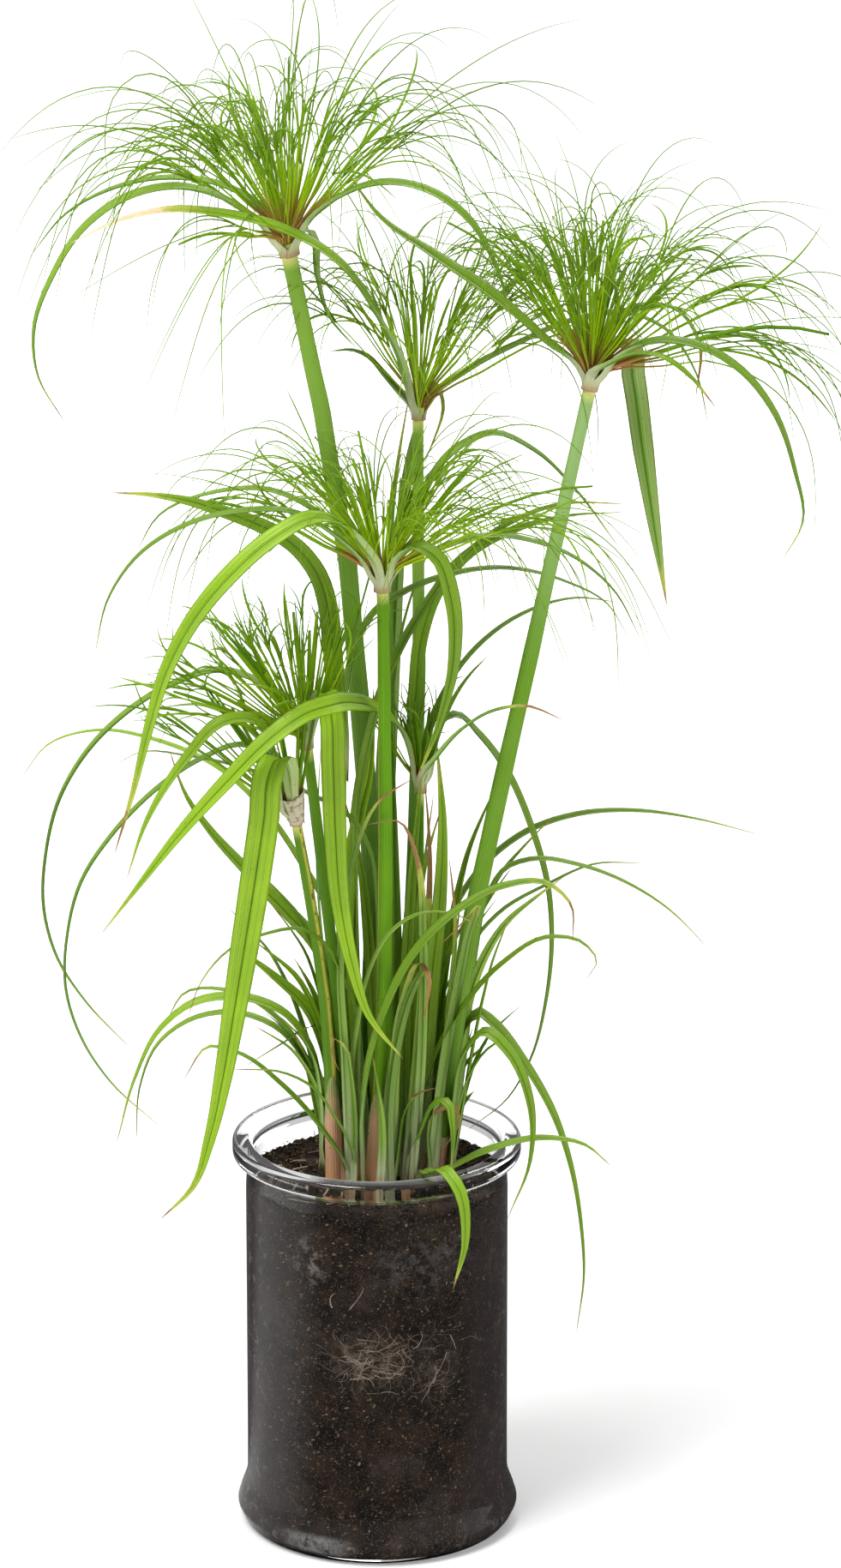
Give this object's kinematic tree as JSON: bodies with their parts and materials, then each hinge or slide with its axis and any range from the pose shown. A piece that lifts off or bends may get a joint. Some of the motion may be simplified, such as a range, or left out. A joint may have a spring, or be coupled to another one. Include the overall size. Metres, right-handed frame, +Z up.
{
  "type": "potted papyrus plant",
  "caption": "Young papyrus with upright culms, arching leaf blades and fine ray fans, growing in dark soil in a straight clear glass jar.",
  "frame": {"origin": "middle of the jar's flat underside", "axes": "+Z up, +X to the right and -Y towards a person who sees the plant as in the picture"},
  "size_m": [0.3774, 0.2341, 0.703],
  "materials": {
    "jar_glass": "gloss",
    "potting_soil": "matte",
    "culm": "satin",
    "leaf": "satin",
    "ray": "satin"
  },
  "bodies": {
    "root": {"basal_shoot_1": "leaf", "basal_shoot_10": "leaf", "basal_shoot_2": "leaf", "basal_shoot_3": "leaf", "basal_shoot_4": "leaf", "basal_shoot_5": "leaf", "basal_shoot_6": "leaf", "basal_shoot_7": "leaf", "basal_shoot_8": "leaf", "basal_shoot_9": "leaf", "bract_1a": "leaf", "bract_1b": "leaf", "bract_1c": "leaf", "bract_1d": "leaf", "bract_2a": "leaf", "bract_2b": "leaf", "bract_2c": "leaf", "bract_2d": "leaf", "bract_2e": "leaf", "bract_3a": "leaf", "bract_3b": "leaf", "bract_3c": "leaf", "bract_3d": "leaf", "bract_3e": "leaf", "bract_3f": "leaf", "bract_4a": "leaf", "bract_4b": "leaf", "bract_5a": "leaf", "bract_5b": "leaf", "bract_5c": "leaf", "bract_5d": "leaf", "bract_6a": "leaf", "bract_6b": "leaf", "bract_6d": "leaf", "bract_7a": "leaf", "bract_7b": "leaf", "bract_7c": "leaf", "bract_7d": "leaf", "bract_7e": "leaf", "bract_7f": "leaf", "bract_8a": "leaf", "bract_8b": "leaf", "culm_1": "culm", "culm_2": "culm", "culm_3": "culm", "culm_4": "culm", "culm_5": "culm", "culm_6": "culm", "culm_7": "culm", "culm_8": "culm", "glass_jar": "jar_glass", "soil": "potting_soil", "umbel_1": "ray", "umbel_2": "ray", "umbel_3": "ray", "umbel_4": "ray", "umbel_5": "ray", "umbel_6": "ray", "umbel_7": "ray"}
  },
  "joints": []
}
